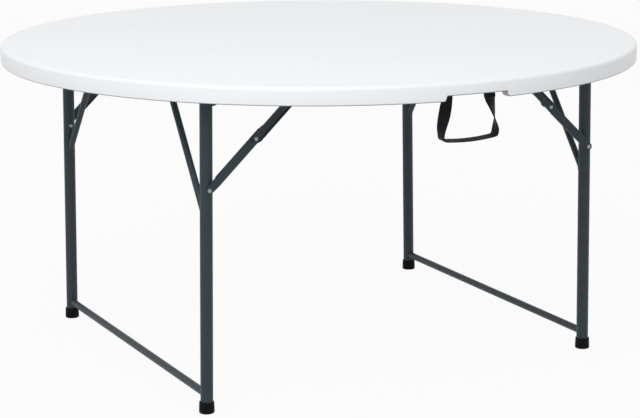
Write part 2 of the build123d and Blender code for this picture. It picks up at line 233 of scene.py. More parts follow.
class StrapSettings(bpy.types.PropertyGroup):
    thickness: bpy.props.FloatProperty(
        name="Thickness", description="Thickness of the webbing",
        default=1.9 * MM, min=1 * MM, max=2.2 * MM, subtype="DISTANCE", unit="LENGTH")
    rib_pitch: bpy.props.FloatProperty(
        name="Rib pitch", description="Distance between the ribs of the weave",
        default=1.5 * MM, min=0.5 * MM, max=4 * MM, subtype="DISTANCE", unit="LENGTH")
    yarn_width: bpy.props.FloatProperty(
        name="Yarn width", description="Distance between the columns of the weave",
        default=2.0 * MM, min=0.5 * MM, max=5 * MM, subtype="DISTANCE", unit="LENGTH")
    colour: bpy.props.FloatVectorProperty(
        name="Webbing", description="Colour of the strap",
        default=(0.0055, 0.0065, 0.0090, 1.0), size=4, min=0.0, max=1.0, subtype="COLOR")


class StageSettings(bpy.types.PropertyGroup):
    lens: bpy.props.FloatProperty(
        name="Lens", description="Focal length of the camera in millimetres",
        default=115.73, min=20.0, max=300.0)
    floor_size: bpy.props.FloatProperty(
        name="Floor", description="Width of the floor",
        default=60.0, min=5.0, max=200.0, subtype="DISTANCE", unit="LENGTH")
    floor_colour: bpy.props.FloatVectorProperty(
        name="Floor colour", description="Colour of the floor",
        default=(0.64, 0.64, 0.64, 1.0), size=4, min=0.0, max=1.0, subtype="COLOR")
    key_power: bpy.props.FloatProperty(
        name="Key light", description="Power of the lamp above the table, in watts",
        default=64.0, min=0.0, max=2000.0)
    sky: bpy.props.FloatProperty(
        name="Sky light", description="Strength of the light from all round",
        default=0.75, min=0.0, max=2.0)


# Ways of working

def deselect_all():
    if bpy.context.object and bpy.context.object.mode != "OBJECT":
        bpy.ops.object.mode_set(mode="OBJECT")
    bpy.ops.object.select_all(action="DESELECT")


def take(piece):
    """Makes the piece the only one selected, and the active one."""
    deselect_all()
    piece.select_set(True)
    bpy.context.view_layer.objects.active = piece


def settle(piece):
    """Puts the piece's place, turn and size into its mesh."""
    take(piece)
    bpy.ops.object.transform_apply(location=True, rotation=True, scale=True)


def name_it(piece, name):
    piece.name = name
    piece.data.name = name


def made(name):
    """The piece that an operator has just added, under its name."""
    name_it(bpy.context.object, name)
    return bpy.context.object


def edit(piece):
    take(piece)
    bpy.ops.object.mode_set(mode="EDIT")
    bpy.ops.mesh.select_mode(type="VERT")
    bpy.ops.mesh.select_all(action="DESELECT")


def edit_all(piece):
    """Opens the piece's mesh with all of it selected."""
    take(piece)
    bpy.ops.object.mode_set(mode="EDIT")
    bpy.ops.mesh.select_all(action="SELECT")


def finish_edit():
    bpy.ops.object.mode_set(mode="OBJECT")


def choose(piece, wanted):
    """Selects, in edit mode, the vertices whose place passes the test."""
    shape = bmesh.from_edit_mesh(piece.data)
    for vertex in shape.verts:
        vertex.select_set(wanted(vertex.co))
    shape.select_flush_mode()
    bmesh.update_edit_mesh(piece.data)


def tidy_shell(piece):
    """Merges doubled vertices and turns every face outwards."""
    edit_all(piece)
    bpy.ops.mesh.remove_doubles(threshold=0.002 * MM)
    bpy.ops.mesh.normals_make_consistent(inside=False)
    finish_edit()


def trace(name, points):
    """A chain of vertices through the points, left in edit mode."""
    deselect_all()
    bpy.ops.mesh.primitive_plane_add(size=MM, location=(0, 0, 0))
    piece = made(name)
    bpy.ops.object.mode_set(mode="EDIT")
    bpy.ops.mesh.select_mode(type="VERT")
    bpy.ops.mesh.select_all(action="SELECT")
    bpy.ops.mesh.merge(type="CENTER")
    bpy.ops.transform.translate(value=points[0])
    for here, there in zip(points, points[1:]):
        bpy.ops.mesh.extrude_vertices_move(TRANSFORM_OT_translate={"value": there - here})
    return piece


def turn(name, points, centre, axis, steps):
    """A piece turned about an axis from its outline, as on a lathe."""
    piece = trace(name, points)
    bpy.ops.mesh.select_all(action="SELECT")
    bpy.ops.mesh.spin(steps=steps, angle=FULL_TURN, center=centre, axis=axis)
    finish_edit()
    tidy_shell(piece)
    return piece


def arc(centre_a, centre_b, radius, start, end, steps):
    """Points of an arc as (a, b) pairs, with its angles in degrees."""
    turns = [math.radians(start + (end - start) * step / steps) for step in range(steps + 1)]
    return [(centre_a + radius * math.cos(t), centre_b + radius * math.sin(t)) for t in turns]


def standing(outline, x=0.0, y=0.0):
    """An outline of radii and heights as points beside an upright axis."""
    return [Vector((x + radius, y, height)) for radius, height in outline]


def bar(name, start, end, radius, sides):
    """A closed round bar between two points."""
    way = end - start
    deselect_all()
    bpy.ops.mesh.primitive_cylinder_add(
        vertices=sides, radius=radius, depth=way.length, location=(start + end) / 2,
        rotation=way.to_track_quat("Z", "Y").to_euler())
    piece = made(name)
    settle(piece)
    return piece


def modify(piece, kind, **settings):
    """Adds a modifier with these settings and applies it."""
    take(piece)
    modifier = piece.modifiers.new(kind.lower(), kind)
    for name, value in settings.items():
        setattr(modifier, name, value)
    bpy.ops.object.modifier_apply(modifier=modifier.name)


def cut(piece, tool, operation="DIFFERENCE"):
    """Cuts the piece with a tool, which is used up."""
    modify(piece, "BOOLEAN", operation=operation, solver="EXACT", object=tool)
    bpy.data.objects.remove(tool)


def bevel(piece, width, steps, angle):
    modify(piece, "BEVEL", width=width, segments=steps, limit_method="ANGLE",
           angle_limit=math.radians(angle))


def smooth(piece, angle=35):
    take(piece)
    bpy.ops.object.shade_smooth_by_angle(angle=math.radians(angle))


def join(pieces, name):
    deselect_all()
    for piece in pieces:
        piece.select_set(True)
    bpy.context.view_layer.objects.active = pieces[0]
    if len(pieces) > 1:
        bpy.ops.object.join()
    joined = made(name)
    settle(joined)
    return joined


def copies(piece, places, name):
    """Copies of a piece put at the places, which are matrices, and joined; the piece is used up."""
    twins = []
    for place in places:
        take(piece)
        bpy.ops.object.duplicate(linked=False)
        twin = bpy.context.object
        twin.matrix_world = place
        twins.append(twin)
    bpy.data.objects.remove(piece)
    return join(twins, name)


def dress(piece, material):
    piece.data.materials.clear()
    piece.data.materials.append(material)


def hand_over(piece, material, body, slot, *nodes):
    """Dresses the piece and says what it rides on and which nodes it stands for; the slot is not used.
    """
    dress(piece, material)
    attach(piece, body)
    if nodes:
        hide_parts(*nodes)


# Places read from the frame

def middle(node):
    low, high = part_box(node)
    return (low + high) / 2


def side_of(corner):
    return corner.split("_")[0]


def outwards(corner):
    """-1 at the front and 1 at the rear."""
    return -1 if corner.endswith("front") else 1


def joint_place(name):
    return next(Vector(joint["pos_m"]) for joint in frame["joints"] if joint["name"] == name)


def leg_line(corner):
    """The foot and the top of a leg's centre line."""
    foot = middle(f"{corner}_foot_cap")
    foot.z = 0
    hinge = joint_place(f"{side_of(corner)}_frame_fold")
    return foot, Vector((hinge.x, foot.y, hinge.z))


def on_leg(corner, height):
    foot, top = leg_line(corner)
    return foot.lerp(top, height / top.z)


def spots(node, reach):
    """The low and high corners of each upright solid in a group node."""
    groups = []
    for vertex in frame["nodes"][node].data.vertices:
        place = vertex.co.copy()
        mark = place.xy
        near = next((g for g in groups if (g["mark"] - mark).length < reach), None)
        if near is None:
            groups.append({"mark": mark, "low": place.copy(), "high": place.copy()})
        else:
            near["low"] = Vector(map(min, near["low"], place))
            near["high"] = Vector(map(max, near["high"], place))
    return [(g["low"], g["high"]) for g in groups]


# Finishes

class Finish:
    """A material in the making: its shader, and short ways to add and join nodes."""

    def __init__(self, name, colour, roughness, **inputs):
        self.material = bpy.data.materials.new(name)
        self.material.use_nodes = True
        self.material.diffuse_color = colour
        self.tree = self.material.node_tree
        self.shader = self.tree.nodes["Principled BSDF"]
        self.colour = colour
        self.set(self.shader, Roughness=roughness, **inputs)
        self.shader.inputs["Base Color"].default_value = colour
        self.places = self.tree.nodes.new("ShaderNodeTexCoord")

    def set(self, node, **values):
        for name, value in values.items():
            node.inputs[name.replace("_", " ")].default_value = value

    def join(self, source, target):
        self.tree.links.new(source, target)

    def noise(self, scale, detail=2.0, stretch=None, source="Object"):
        """Soft noise whose scale counts features to the metre."""
        node = self.tree.nodes.new("ShaderNodeTexNoise")
        self.set(node, Scale=scale, Detail=detail)
        here = self.places.outputs[source]
        if stretch:
            mapping = self.tree.nodes.new("ShaderNodeMapping")
            mapping.inputs["Scale"].default_value = stretch
            self.join(here, mapping.inputs["Vector"])
            here = mapping.outputs["Vector"]
        self.join(here, node.inputs["Vector"])
        return node.outputs["Fac"]

    def spread(self, source, low, high, from_low=0.3, from_high=0.7):
        node = self.tree.nodes.new("ShaderNodeMapRange")
        self.set(node, From_Min=from_low, From_Max=from_high, To_Min=low, To_Max=high)
        self.join(source, node.inputs["Value"])
        return node.outputs["Result"]

    def maths(self, operation, first, second=0.0):
        node = self.tree.nodes.new("ShaderNodeMath")
        node.operation = operation
        for index, value in enumerate((first, second)):
            if isinstance(value, bpy.types.NodeSocket):
                self.join(value, node.inputs[index])
            else:
                node.inputs[index].default_value = value
        return node.outputs["Value"]

    def blend(self, source, dark, light):
        """The colour, varied between two shares of itself."""
        node = self.tree.nodes.new("ShaderNodeMix")
        node.data_type = "RGBA"
        for socket, share in ((node.inputs["A"], dark), (node.inputs["B"], light)):
            socket.default_value = (*(min(part * share, 1.0) for part in self.colour[:3]), 1.0)
        self.join(source, node.inputs["Factor"])
        self.join(node.outputs["Result"], self.shader.inputs["Base Color"])

    def darken(self, source, share):
        """Takes the colour down to a share of itself where the source is 1."""
        node = self.tree.nodes.new("ShaderNodeMix")
        node.data_type = "RGBA"
        node.blend_type = "MULTIPLY"
        node.inputs["B"].default_value = (share, share, share, 1.0)
        before = self.shader.inputs["Base Color"]
        self.join(before.links[0].from_socket, node.inputs["A"])
        self.join(source, node.inputs["Factor"])
        self.join(node.outputs["Result"], before)

    def part_of(self, source, axis):
        node = self.tree.nodes.new("ShaderNodeSeparateXYZ")
        self.join(self.places.outputs[source], node.inputs["Vector"])
        return node.outputs[axis]

    def rough(self, source, low, high):
        self.join(self.spread(source, low, high), self.shader.inputs["Roughness"])

    def bump(self, source, strength, depth):
        """Adds relief of that depth in metres, on top of any before it."""
        node = self.tree.nodes.new("ShaderNodeBump")
        self.set(node, Strength=strength, Distance=depth)
        before = self.shader.inputs["Normal"]
        if before.links:
            self.join(before.links[0].from_socket, node.inputs["Normal"])
        self.join(source, node.inputs["Height"])
        self.join(node.outputs["Normal"], before)


def moulded_plastic(colour, shade_band_height):
    """White plastic with the fine grain of its mould, and painted shade along the rim's lower edges
    that face down.
    """
    finish = Finish("moulded_white_plastic", colour, 0.42, IOR=1.50, Specular_IOR_Level=0.4)
    finish.blend(finish.noise(5.0, 3.0), 0.985, 1.015)
    # Painted shade: below this height, edges that face down but are not flat are darkened to stand for
    # the shade under the rim
    low = finish.maths("LESS_THAN", finish.part_of("Object", "Z"), shade_band_height)
    facing = finish.part_of("Normal", "Z")
    under = finish.spread(facing, 1.0, 0.0, -0.7, -0.1)
    edge = finish.spread(facing, 0.0, 1.0, -0.995, -0.95)
    finish.darken(finish.maths("MULTIPLY", low, finish.maths("MULTIPLY", under, edge)), 0.16)
    finish.rough(finish.noise(40.0, 3.0), 0.36, 0.46)
    finish.bump(finish.noise(9.0, 1.0), 0.5, 0.6 * MM)
    finish.bump(finish.noise(900.0, 2.0), 0.35, 0.10 * MM)
    return finish.material


def powder_coat(colour):
    """Charcoal powder coat on steel: fine orange peel and a slight drift in shade."""
    finish = Finish("charcoal_powder_coat", colour, 0.45, Specular_IOR_Level=0.3)
    finish.blend(finish.noise(22.0, 4.0), 0.86, 1.16)
    finish.rough(finish.noise(160.0, 2.0), 0.38, 0.54)
    finish.bump(finish.noise(750.0, 2.0), 0.35, 0.12 * MM)
    return finish.material


def weld_paint(colour):
    """The same coat over the ripples of a weld bead."""
    finish = Finish("painted_weld", colour, 0.45, Specular_IOR_Level=0.3)
    finish.blend(finish.noise(60.0, 3.0), 0.8, 1.12)
    finish.bump(finish.noise(420.0, 1.0), 0.8, 0.5 * MM)
    finish.bump(finish.noise(1500.0, 2.0), 0.4, 0.12 * MM)
    return finish.material


def zinc_plate(colour):
    """Bright zinc plate with faint rolling marks and dull patches."""
    finish = Finish("bright_zinc_plate", colour, 0.25, Metallic=1.0)
    finish.blend(finish.noise(260.0, 3.0), 0.86, 1.1)
    finish.rough(finish.noise(500.0, 3.0), 0.14, 0.30)
    finish.bump(finish.noise(1400.0, 2.0), 0.3, 0.05 * MM)
    return finish.material


def moulded_rubber(colour):
    """Black soft plastic of the foot caps, with a matt grain and scuffs near the floor."""
    finish = Finish("black_foot_plastic", colour, 0.5, Specular_IOR_Level=0.06)
    scuffs = finish.noise(120.0, 4.0, (1.0, 1.0, 0.3))
    finish.blend(scuffs, 0.8, 1.7)
    finish.rough(finish.noise(300.0, 2.0), 0.38, 0.62)
    finish.bump(finish.noise(1100.0, 2.0), 0.4, 0.10 * MM)
    return finish.material


def woven_webbing(settings, length):
    """Polypropylene webbing: yarns that pass over and under, a rib at a time, along the strap."""
    finish = Finish("woven_webbing", settings.colour, 0.55, Sheen_Weight=0.03,
                    Sheen_Roughness=0.4, Specular_IOR_Level=0.12)
    across = finish.maths("MULTIPLY", finish.part_of("UV", "X"), STRAP_WIDTH / settings.yarn_width)
    along = finish.maths("MULTIPLY", finish.part_of("UV", "Y"), length / settings.rib_pitch)
    stagger = finish.maths("MULTIPLY", finish.maths("FLOOR", across), 0.5)
    rib, yarn = (
        finish.maths("ABSOLUTE", finish.maths("SINE", finish.maths("MULTIPLY", count, math.pi)))
        for count in (finish.maths("ADD", along, stagger), across))
    weave = finish.maths("MULTIPLY", finish.maths("POWER", rib, 0.5), finish.maths("POWER", yarn, 0.4))
    finish.blend(finish.maths("MULTIPLY", weave, finish.spread(finish.noise(900.0, 2.0), 0.7, 1.0)),
                 0.35, 1.5)
    finish.rough(weave, 0.75, 0.45)
    finish.bump(weave, 0.9, 0.35 * MM)
    return finish.material


def sewing_thread(colour):
    """Black bonded thread with the twist of its plies."""
    finish = Finish("sewing_thread", colour, 0.5, Specular_IOR_Level=0.2)
    finish.blend(finish.noise(2500.0, 1.0), 0.9, 2.2)
    finish.bump(finish.noise(3000.0, 1.0, (1.0, 1.0, 0.4)), 0.5, 0.08 * MM)
    return finish.material


def seen_as_white(tree):
    """1 where the camera, gloss or glass looks, and 0 where light only bounces."""
    path = tree.nodes.new("ShaderNodeLightPath")
    seen = path.outputs["Is Camera Ray"]
    for ray in ("Is Glossy Ray", "Is Transmission Ray"):
        either = tree.nodes.new("ShaderNodeMath")
        either.operation = "MAXIMUM"
        tree.links.new(seen, either.inputs[0])
        tree.links.new(path.outputs[ray], either.inputs[1])
        seen = either.outputs["Value"]
    return seen


def studio_floor(colour):
    """A pale floor: white where the camera, gloss or glass sees it, less the object's shadow."""
    finish = Finish("studio_floor", colour, 0.9)
    finish.blend(finish.noise(3.0, 2.0), 0.995, 1.0)
    tree = finish.tree
    glow = tree.nodes.new("ShaderNodeEmission")
    finish.set(glow, Color=WHITE, Strength=1.0)
    mix = tree.nodes.new("ShaderNodeMixShader")
    finish.join(finish.maths("MULTIPLY", seen_as_white(tree), FLOOR_GLOW), mix.inputs["Fac"])
    finish.join(finish.shader.outputs["BSDF"], mix.inputs[1])
    finish.join(glow.outputs["Emission"], mix.inputs[2])
    finish.join(mix.outputs["Shader"], tree.nodes["Material Output"].inputs["Surface"])
    return finish.material


def zinc():
    """The plate that every rivet, screw and bar shares."""
    plate = bpy.data.materials.get("bright_zinc_plate")
    return plate or zinc_plate(tuple(bpy.context.scene.table_hardware.colour))


# Pieces

class TABLE_OT_top(bpy.types.Operator):
    """Moulded top: turned rim and panel, a hand notch, and dimples under the panel"""
    bl_idname = "table.top"
    bl_label = "Moulded top"

    def execute(self, context):
        settings = context.scene.table_top
        low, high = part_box("tabletop")
        radius, panel_z = high.x, high.z - PANEL_DEPTH
        top = self.turned_rim(settings, radius, low.z, high.z, panel_z)
        self.raise_notch(top, low.z + settings.foot_round + 0.2 * MM)
        self.close_faces(top)
        self.press_dimples(top, settings, panel_z, radius)
        smooth(top, 30)
        # Height under which the rim's downward-facing edges get painted shade
        shade_band_height = low.z + NOTCH_HEIGHT + settings.foot_round + 0.5 * MM
        plastic = moulded_plastic(tuple(settings.colour), shade_band_height)
        hand_over(top, plastic, "top", "top_plastic", "tabletop")
        return {"FINISHED"}

    def turned_rim(self, settings, radius, foot_z, top_z, panel_z):
        edge, foot = settings.edge_round, settings.foot_round
        wall = radius - RIM_WIDTH
        outline = [(radius - edge - RIM_FLAT, top_z)]
        outline += arc(radius - edge, top_z - edge, edge, 90, 0, RIM_ROUND_STEPS)
        outline += arc(radius - foot, foot_z + foot, foot, 0, -90, FOOT_ROUND_STEPS)
        outline += arc(wall + foot, foot_z + foot, foot, -90, -180, FOOT_ROUND_STEPS)
        outline += arc(wall - RIM_DRAFT - foot, panel_z - foot, foot, 0, 90, FOOT_ROUND_STEPS)
        return turn("top_moulding", standing(outline), (0, 0, 0), (0, 0, 1), TOP_STEPS)

    def raise_notch(self, top, foot_band):
        """Lifts the rim's foot over the hand notch, with eased corners."""
        edit(top)
        near = NOTCH_FOOT + 3 * NOTCH_FLARE
        front = lambda place: place.y < 0 and abs(place.x) < near
        places = [NOTCH_TOP - NOTCH_ROUND + (near - NOTCH_TOP + NOTCH_ROUND) * step / NOTCH_CUTS
                  for step in range(NOTCH_CUTS)]
        for way in (-1, 1):
            for place in places:
                choose(top, lambda spot: spot.y < 0 and abs(spot.x) < 2 * near)
                bpy.ops.mesh.bisect(plane_co=(way * place, 0, 0), plane_no=(1, 0, 0))
        shape = bmesh.from_edit_mesh(top.data)
        offsets = {round(abs(v.co.x), 6) for v in shape.verts if front(v.co) and v.co.z < foot_band}
        for offset in sorted(offsets):
            lift = self.notch_lift(offset)
            if lift < LEAST_LIFT:
                continue
            choose(top, lambda spot: front(spot) and spot.z < foot_band
                   and abs(abs(spot.x) - offset) < SAME_OFFSET)
            bpy.ops.transform.translate(value=(0, 0, lift))
        finish_edit()

    def notch_lift(self, offset):
        """The notch's height at a distance from its middle."""
        start, stop = NOTCH_TOP - NOTCH_ROUND, NOTCH_FOOT + NOTCH_FLARE
        share = min(max((stop - offset) / (stop - start), 0.0), 1.0)
        return NOTCH_HEIGHT * share * share * (3 - 2 * share)

    def close_faces(self, top):
        """Fills the flat table surface and the flat underside of the panel."""
        edit_all(top)
        bpy.ops.mesh.fill_holes(sides=0)
        bpy.ops.mesh.select_all(action="SELECT")
        bpy.ops.mesh.normals_make_consistent(inside=False)
        finish_edit()

    def press_dimples(self, top, settings, panel_z, radius):
        """Cuts rows of tapered dimples into the underside, clear of what is screwed there."""
        mouth = settings.dimple_width / 2
        kept_clear = [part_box(node) for node in frame["nodes"]
                      if node.endswith(("hinge_saddle", "anchor_bracket")) or node == "strap_loops"]
        reach = radius - RIM_WIDTH - RIM_DRAFT - mouth - DIMPLE_RIM_GAP
        overrun = 1 * MM
        depth = settings.dimple_depth
        slope = (mouth * DIMPLE_TAPER_SHARE) / depth
        deselect_all()
        tool = None
        row_step = settings.dimple_pitch * math.sqrt(3) / 2
        rows = int(reach / row_step)
        for row in range(-rows, rows + 1):
            shift = 0.5 * (row % 2)
            columns = int(reach / settings.dimple_pitch) + 1
            for column in range(-columns, columns + 1):
                x, y = (column + shift) * settings.dimple_pitch, row * row_step
                if (math.hypot(x, y) > reach
                        or self.taken(x, y, mouth + DIMPLE_BRACKET_GAP, kept_clear)):
                    continue
                bpy.ops.mesh.primitive_cone_add(
                    vertices=DIMPLE_SIDES, radius1=mouth + slope * overrun,
                    radius2=mouth * (1 - DIMPLE_TAPER_SHARE),
                    depth=depth + overrun, location=(x, y, panel_z + (depth - overrun) / 2))
                if tool is None:
                    tool = bpy.context.object
                    bpy.ops.object.mode_set(mode="EDIT")
        finish_edit()
        settle(tool)
        cut(top, tool)

    def taken(self, x, y, margin, boxes):
        return any(low.x - margin < x < high.x + margin and low.y - margin < y < high.y + margin
                   for low, high in boxes)


class TABLE_OT_frames(bpy.types.Operator):
    """Powder coat on the tubes, links and brackets, and plate on the strap's bars"""
    bl_idname = "table.frames"
    bl_label = "Leg frames"

    def execute(self, context):
        coat = powder_coat(tuple(context.scene.table_frame.colour))
        painted = ("hinge_tube", "foot_crossbar", "_leg", "diagonal_stay", "saddle", "bracket", "link")
        for name, node in frame["nodes"].items():
            if name.endswith(painted):
                dress(node, coat)
        dress(frame["nodes"]["strap_loops"], zinc())
        return {"FINISHED"}


class TABLE_OT_welds(bpy.types.Operator):
    """Weld beads where the tubes of each leg frame meet"""
    bl_idname = "table.welds"
    bl_label = "Weld beads"

    def execute(self, context):
        width = context.scene.table_frame.weld_width
        coat = weld_paint(tuple(context.scene.table_frame.colour))
        for side in SIDES:
            beads = []
            for corner in (name for name in CORNERS if side_of(name) == side):
                foot, top = leg_line(corner)
                inwards = Vector((0, -outwards(corner), 0))
                hinge = (top, Vector((0, 1, 0)), LEG_RADIUS)
                leg = (foot, (top - foot).normalized(), LEG_RADIUS)
                low = on_leg(corner, STAY_FOOT_HEIGHT)
                high = top + inwards * STAY_INSET
                bar_end = on_leg(corner, middle(f"{side}_foot_crossbar").z)
                beads += [
                    self.bead(hinge, top, foot, LEG_RADIUS, width, LOW_WELD),
                    self.bead(leg, low, high, STAY_RADIUS, width, width),
                    self.bead(hinge, high, low, STAY_RADIUS, width, width),
                    self.bead(leg, bar_end, bar_end + inwards, CROSSBAR_RADIUS, width, width)]
            welds = join(beads, f"{side}_weld_beads")
            smooth(welds, 50)
            hand_over(welds, coat, f"{side}_frame", "frame_paint")
        return {"FINISHED"}

    def bead(self, carrier, start, end, radius, width, rise):
        """A ring of weld round the end of a tube, fitted to the tube that it stands on."""
        place, way, carrier_radius = carrier
        along = (end - start).normalized() * WELD_REACH
        around = place + way * (start - place).dot(way)
        way = way * WELD_REACH
        ring = bar("bead", start, start + along, radius + width, WELD_SIDES)
        cut(ring, bar("shell", around - way, around + way, carrier_radius + rise, SHELL_SIDES),
            "INTERSECT")
        cut(ring, bar("core", around - way * 1.1, around + way * 1.1,
                      carrier_radius - WELD_BURIED, SHELL_SIDES))
        cut(ring, bar("bore", start - along, start + along * 1.1, radius - WELD_BURIED, WELD_SIDES))
        tidy_shell(ring)
        bevel(ring, rise * 0.55, 3, 40)
        return ring


class TABLE_OT_rivets(bpy.types.Operator):
    """Domed rivets at the elbows, legs and anchors of the braces"""
    bl_idname = "table.rivets"
    bl_label = "Rivets"

    def execute(self, context):
        sides = context.scene.table_hardware.rivet_sides
        plate = zinc()
        tails = {side: [] for side in SIDES}
        anchors = []
        for corner in CORNERS:
            elbow = self.turned(f"{corner}_elbow_rivet_domed", corner,
                                middle(f"{corner}_elbow_rivet"), sides, [
                *self.dome(LOWER_LINK_IN, -TALL_HEAD, True), (SHANK_RADIUS, LOWER_LINK_IN),
                (SHANK_RADIUS, LOWER_LINK_OUT), (SHOULDER_RADIUS, LOWER_LINK_OUT),
                (SHOULDER_RADIUS, UPPER_LINK_IN), (SHANK_RADIUS, UPPER_LINK_IN),
                (SHANK_RADIUS, UPPER_LINK_OUT), *self.dome(UPPER_LINK_OUT, TALL_HEAD)])
            hand_over(elbow, plate, f"{corner}_upper_brace", "bright_steel", f"{corner}_elbow_rivet")
            pivot = middle(f"{corner}_leg_rivet_head")
            head = self.turned(f"{corner}_leg_rivet_domed", corner, pivot, sides, [
                (0, LEG_RADIUS + LEG_GAP), (SHOULDER_RADIUS, LEG_RADIUS + LEG_GAP),
                (SHOULDER_RADIUS, LOWER_LINK_IN), (SHANK_RADIUS, LOWER_LINK_IN),
                (SHANK_RADIUS, LOWER_LINK_OUT), *self.dome(LOWER_LINK_OUT, LOW_HEAD)])
            hand_over(head, plate, f"{corner}_lower_brace", "bright_steel",
                      f"{corner}_leg_rivet_head")
            seat = math.sqrt(LEG_RADIUS ** 2 - HEAD_RADIUS ** 2)
            tails[side_of(corner)].append(self.turned("tail", corner, pivot, sides, [
                *self.dome(-LEG_RADIUS, -TALL_HEAD, True), (HEAD_RADIUS, -seat),
                (SHANK_RADIUS, -seat), (SHANK_RADIUS, LEG_RADIUS), (0, LEG_RADIUS)]))
            anchors.append(self.turned("anchor", corner, joint_place(f"{corner}_brace_swing"), sides, [
                (0, UPPER_LINK_IN), (SHANK_RADIUS - ANCHOR_CHAMFER, UPPER_LINK_IN),
                (SHANK_RADIUS, UPPER_LINK_IN + ANCHOR_CHAMFER), (SHANK_RADIUS, EAR_OUT),
                *self.dome(EAR_OUT, TALL_HEAD)]))
        for side in SIDES:
            pair = join(tails[side], f"{side}_leg_rivet_tails_domed")
            hand_over(pair, plate, f"{side}_frame", "bright_steel", f"{side}_leg_rivet_tails")
        four = join(anchors, "anchor_rivets_domed")
        hand_over(four, plate, "top", "bright_steel", "anchor_rivets")
        return {"FINISHED"}

    def dome(self, base, height, from_pole=False):
        """Outline of a domed head as (radius, distance out), from its rim to its pole."""
        way = 1 if height > 0 else -1
        rise = abs(height) - HEAD_SKIRT
        sphere = (HEAD_RADIUS ** 2 + rise ** 2) / (2 * rise)
        outline = [(HEAD_RADIUS, base)]
        for step in range(DOME_STEPS + 1):
            radius = HEAD_RADIUS * (1 - step / DOME_STEPS)
            bulge = math.sqrt(sphere ** 2 - radius ** 2) - (sphere - rise)
            outline.append((radius, base + way * (HEAD_SKIRT + bulge)))
        return outline[::-1] if from_pole else outline

    def turned(self, name, corner, centre, sides, outline):
        """A rivet on a sideways axis, from its outline out from the leg's centre line."""
        leg_y = middle(f"{corner}_foot_cap").y
        points = [Vector((centre.x + radius, leg_y + outwards(corner) * out, centre.z))
                  for radius, out in outline]
        piece = turn(name, points, (centre.x, leg_y, centre.z), (0, 1, 0), sides)
        smooth(piece, 35)
        return piece


class TABLE_OT_screws(bpy.types.Operator):
    """Pan-head screws with a cross recess under the panel"""
    bl_idname = "table.screws"
    bl_label = "Screws"

    def execute(self, context):
        sides = context.scene.table_hardware.rivet_sides
        plate = zinc()
        for node in ("saddle_screws", "anchor_screws", "strap_screws"):
            places = spots(node, SCREW_SPREAD)
            low, high = places[0]
            group = copies(self.screw(high.z - low.z, sides), [
                Matrix.Translation(((a.x + b.x) / 2, (a.y + b.y) / 2, a.z)) for a, b in places],
                f"{node}_fine")
            smooth(group, 35)
            hand_over(group, plate, "top", "bright_steel", node)
        return {"FINISHED"}

    def screw(self, length, sides):
        """One screw, point up, with the lowest point of its head at the origin."""
        outline = [(radius * MM, height * MM) for radius, height in SCREW_HEAD_OUTLINE]
        outline += [(SCREW_SHANK, SCREW_HEAD), (SCREW_SHANK, length - SCREW_POINT), (0, length)]
        screw = turn("screw", standing(outline), (0, 0, 0), (0, 0, 1), sides)
        long, narrow, deep = RECESS
        for size in ((long, narrow, deep), (narrow, long, deep)):
            deselect_all()
            bpy.ops.mesh.primitive_cube_add(size=1, location=(0, 0, 0), scale=size)
            slot = bpy.context.object
            settle(slot)
            cut(screw, slot)
        return screw


class TABLE_OT_feet(bpy.types.Operator):
    """Black caps pushed onto the feet of the legs"""
    bl_idname = "table.feet"
    bl_label = "Foot caps"

    def execute(self, context):
        settings = context.scene.table_feet
        rubber = moulded_rubber(tuple(settings.colour))
        for corner in CORNERS:
            low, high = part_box(f"{corner}_foot_cap")
            centre = (low + high) / 2
            radius, height = (high.y - low.y) / 2, high.z
            bore, lip, foot = LEG_RADIUS + CAP_FIT, settings.mouth_round, settings.floor_round
            outline = [(r * MM, z * MM) for r, z in CAP_DISH]
            outline += arc(radius - foot, foot, foot, -90, 0, 5)
            outline += [(radius - 0.1 * MM, height * 0.4)]
            outline += arc(radius - CAP_TAPER - lip, height - lip, lip, 0, 90, 4)
            outline += [(bore + 0.2 * MM, height), (bore, height - 0.3 * MM), (bore, CAP_FLOOR),
                        (0, CAP_FLOOR)]
            cap = turn(f"{corner}_foot_cap_moulded", standing(outline, centre.x, centre.y),
                       (centre.x, centre.y, 0), (0, 0, 1), CAP_SIDES)
            smooth(cap, 40)
            hand_over(cap, rubber, f"{side_of(corner)}_frame", "foot_plastic", f"{corner}_foot_cap")
        return {"FINISHED"}


